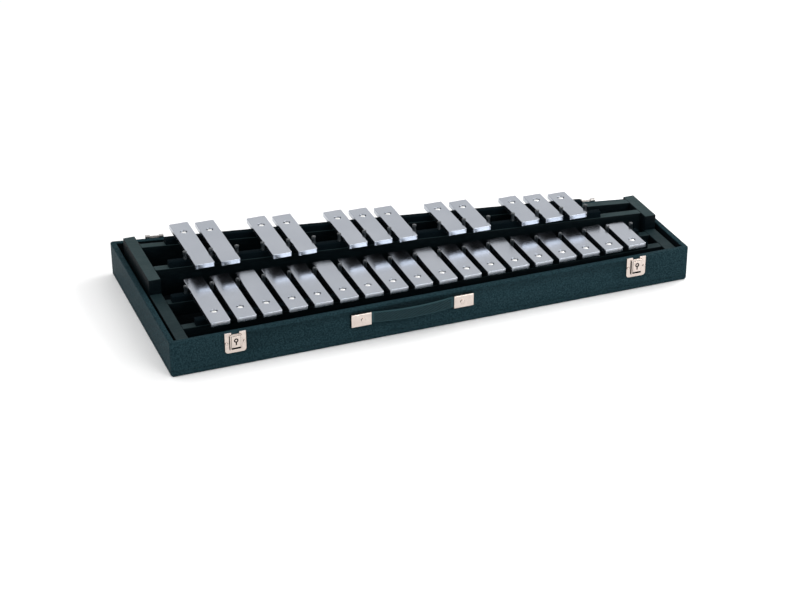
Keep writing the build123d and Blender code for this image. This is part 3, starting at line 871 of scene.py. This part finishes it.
def add_posts():
    """Steel pins in rubber sleeves, each sleeve rounded at the top and drawn in at the middle."""
    sleeves = bmesh.new()
    for points in islands("guide_sleeves"):
        low, high = box_of(points)
        centre = (low + high) / 2
        radius = (high.x - low.x) / 2
        height = high.z - low.z
        profile = [(PIN_RADIUS, low.z), (radius, low.z), (radius, low.z + 0.15 * height),
                   (radius - SLEEVE_FOOT_FLARE, low.z + 0.3 * height),
                   (radius - SLEEVE_FOOT_FLARE, low.z + 0.6 * height),
                   (radius - 0.15 * MM, low.z + 0.72 * height)]
        profile += [(radius - inset, high.z - SLEEVE_TOP_ROUND + rise)
                    for inset, rise in quarter(SLEEVE_TOP_ROUND, 5)]
        profile += [(PIN_RADIUS + 0.3 * MM, high.z), (PIN_RADIUS, high.z - 0.3 * MM)]
        profile += [(PIN_RADIUS, low.z)]
        lathe(sleeves, centre, profile, 28)
    bmesh.ops.remove_doubles(sleeves, verts=sleeves.verts, dist=RING_WELD_DISTANCE)
    add_piece("guide_sleeves_moulded", to_mesh(sleeves, "guide_sleeves"), RUBBER, "guide_sleeves")
    pins = bmesh.new()
    for points in islands("guide_pins"):
        low, high = box_of(points)
        centre = (low + high) / 2
        dome = [(PIN_RADIUS - inset, high.z - PIN_TOP_ROUND + rise)
                for inset, rise in quarter(PIN_TOP_ROUND, 4)]
        lathe(pins, centre, [(0.0, low.z), (PIN_RADIUS, low.z), *dome, (0.0, high.z)], 20)
    add_piece("guide_pins_domed", to_mesh(pins, "guide_pins"), PIN_STEEL, "guide_pins")


# ---------------------------------------------------------------- handle
STRAP_THICKNESS = 3.5 * MM
STRAP_BEND = 62.0 * MM
STRAP_EDGE = 1.0 * MM
STRAP_BACK_EDGE = 0.4 * MM
STRAP_STEP = 0.4 * MM
STRAP_ROWS = 46
RIB_PITCH = 4.1 * MM
RIB_LEAN = 1.4
RIB_DEPTH = 0.8 * MM
RIB_BORDER = 0.6 * MM
RIB_FADE = 0.6 * MM
RIB_END_FADE = 1.0 * MM
GROOVE_START = 0.55
GROOVE_END = 1.2


def strap_path(points):
    """Front-face Y of the strap at any X, as flat ends joined by a circular bow."""
    low, high = box_of(points)
    centre_x = (low.x + high.x) / 2
    flat_y = min(p.y for p in points if abs(p.x - low.x) < AT_END)
    bow = flat_y - low.y
    radius = (STRAP_BEND**2 + bow**2) / (2 * bow)

    def face(x):
        away = abs(x - centre_x)
        if away >= STRAP_BEND:
            return flat_y
        return low.y + radius - math.sqrt(radius**2 - away**2)

    return face, low, high, centre_x


def add_strap():
    """The bowed strap, with slanting ribs moulded on its outer face between plain borders, and the rib
    grooves painted near black as painted shade.
    """
    points = islands("handle_strap")[0]
    face, low, high, centre_x = strap_path(points)
    count = int((high.x - low.x) / STRAP_STEP)
    loops = []
    for k in range(count + 1):
        x = low.x + (high.x - low.x) * k / count
        front = face(x)
        loop = []
        for row in range(STRAP_ROWS + 1):
            z = low.z + (high.z - low.z) * row / STRAP_ROWS
            from_edge = min(z - low.z, high.z - z)
            edge = max(STRAP_EDGE - from_edge, 0.0)
            rounding = STRAP_EDGE - math.sqrt(max(STRAP_EDGE**2 - edge**2, 0.0))
            fade = min(max((from_edge - RIB_BORDER) / RIB_FADE, 0.0), 1.0)
            fade *= min(max((STRAP_BEND - abs(x - centre_x)) / RIB_END_FADE, 0.0), 1.0)
            wave = 0.5 - 0.5 * math.cos(2 * math.pi * (x + RIB_LEAN * (z - low.z)) / RIB_PITCH)
            loop.append((x, front + rounding + RIB_DEPTH * fade * wave, z))
        for share in (1.0, 0.75, 0.5, 0.25, 0.0):
            z = low.z + (high.z - low.z) * share
            rounding = STRAP_BACK_EDGE if share in (0.0, 1.0) else 0.0
            loop.append((x, front + STRAP_THICKNESS - rounding, z))
        loops.append(loop)
    edit = bmesh.new()
    solid_loft(edit, loops)
    mesh = to_mesh(edit, "handle_strap", 70.0)
    piece = add_piece("handle_strap_ribbed", mesh, STRAP, "handle_strap")
    # painted shade: faces deep in the rib grooves get the near-black skin
    mesh.materials.append(STRAP_GROOVE_SHADE)
    for polygon in piece.data.polygons:
        x, y, z = polygon.center
        sunk = y - face(x)
        inside = min(z - low.z, high.z - z) > RIB_BORDER
        if inside and GROOVE_START * RIB_DEPTH < sunk < GROOVE_END * RIB_DEPTH:
            polygon.material_index = 1


# ---------------------------------------------------------------- hardware
PLUG_PIN_RADIUS = 1.5 * MM
PLUG_PIN_LENGTH = 1.4 * MM
PLUG_EDGE = 0.12 * MM
SLIDE_EDGE = 0.2 * MM
LATCH_PLATE_EDGE = 0.22 * MM
CAP_EDGE = 0.25 * MM
HINGE_EDGE = 0.3 * MM


def add_lock_plug(side):
    """A lock plug painted near black as painted shade of its keyhole, whose centre pin end is bright
    nickel as a painted highlight.
    """
    node = f"lock_plug_{side}"
    low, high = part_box(node)
    middle = (low + high) / 2
    piece = softened(node, LOCK_PLUG_SHADE, PLUG_EDGE)
    piece.data.materials.append(NICKEL)
    for face in piece.data.polygons:
        away = math.hypot(face.center.x - middle.x, face.center.z - middle.z)
        on_pin_highlight = away < PLUG_PIN_RADIUS and face.center.y < low.y + PLUG_PIN_LENGTH
        # painted highlight: the pin's front end takes the bright nickel
        if on_pin_highlight and face.normal.y < -0.7:
            face.material_index = 1


def add_hardware():
    """Plated fittings with rounded edges, and the rivets and springs as the CAD has them."""
    # caps, plates, slides and rivets use the nickel whose side walls carry painted shade
    softened("handle_caps", NICKEL, CAP_EDGE, 2)
    softened("latch_plates", NICKEL, LATCH_PLATE_EDGE)
    softened("lid_hinge_halves", HINGE_STEEL, HINGE_EDGE)
    for side in SIDES:
        softened(f"latch_slide_{side}", NICKEL, SLIDE_EDGE)
        add_lock_plug(side)
    for node, material in (("rivets", NICKEL), ("latch_spring_bass", SPRING_STEEL),
                           ("latch_spring_treble", SPRING_STEEL)):
        cad = frame["nodes"][node]
        cad.data.materials.clear()
        cad.data.materials.append(material)


# ---------------------------------------------------------------- stage
FLOOR_REACH = 30.0
FLOOR_DROP = 0.2 * MM
ROOM_FRONT, ROOM_BACK = -0.6, 0.3
ROOM_DIM, ROOM_BRIGHT = 0.50, 1.02


def add_area_light(name, place, target, size, power):
    """A rectangular softbox at a place, turned to a target."""
    data = bpy.data.lights.new(name, "AREA")
    data.shape = "RECTANGLE"
    data.size, data.size_y = size
    data.energy = power
    light = bpy.data.objects.new(name, data)
    light.location = place
    light.rotation_mode = "QUATERNION"
    light.rotation_quaternion = (Vector(target) - Vector(place)).to_track_quat("-Z", "Y")
    bpy.context.scene.collection.objects.link(light)


def add_stage():
    """A white floor that runs far behind the case, in a white room that is dimmer at the front."""
    edit = bmesh.new()
    corners = [(x * FLOOR_REACH, y * FLOOR_REACH) for x, y in ((-1, -1), (1, -1), (1, 1), (-1, 1))]
    edit.faces.new([edit.verts.new((x, y, -FLOOR_DROP)) for x, y in corners])
    floor = bpy.data.objects.new("floor", to_mesh(edit, "floor"))
    look = Look("floor_white", Roughness=0.9, Specular_IOR_Level=0.1)
    look.feed("Base Color", look.mix_colour(look.noise(0.8), (0.94, 0.94, 0.94), (0.96, 0.96, 0.96)))
    floor.data.materials.append(look.material)
    bpy.context.scene.collection.objects.link(floor)

    world = bpy.data.worlds.new("studio")
    world.use_nodes = True
    background = world.node_tree.nodes["Background"]
    background.inputs["Color"].default_value = (1.0, 1.0, 1.0, 1.0)
    nodes, links = world.node_tree.nodes, world.node_tree.links
    direction = nodes.new("ShaderNodeTexCoord").outputs["Generated"]
    parts = nodes.new("ShaderNodeSeparateXYZ")
    brightness = nodes.new("ShaderNodeMapRange")
    for socket, number in zip(RANGE_SOCKETS, (ROOM_FRONT, ROOM_BACK, ROOM_DIM, ROOM_BRIGHT)):
        brightness.inputs[socket].default_value = number
    links.new(direction, parts.inputs["Vector"])
    links.new(parts.outputs["Y"], brightness.inputs["Value"])
    links.new(brightness.outputs["Result"], background.inputs["Strength"])
    bpy.context.scene.world = world
    bpy.context.scene.view_settings.view_transform = "Standard"
    add_area_light("softbox_left", (-1.8, -0.6, 1.6), (0, 0, 0.05), (1.6, 1.2), 14.0)
    add_area_light("softbox_right", (1.8, 0.3, 1.5), (0, 0, 0.05), (1.4, 1.0), 26.0)
    add_area_light("softbox_front", (0.9, -2.3, 1.35), (0, 0, 0.08), (1.6, 1.2), 34.0)


add_camera()
add_case()
for board in ("end_board_bass", "end_board_treble", "rail_front_natural", "rail_rear_natural"):
    add_board(board, PAINT)
# the raised blocks and accidental rails get the lighter copy of the paint: painted light
for board in ("raised_block_bass", "raised_block_treble", "rail_front_accidental",
              "rail_rear_accidental"):
    add_board(board, LIT_RAISED_PAINT)
add_felts()
add_bars()
add_screws()
add_grommets()
add_posts()
add_strap()
add_hardware()
add_stage()
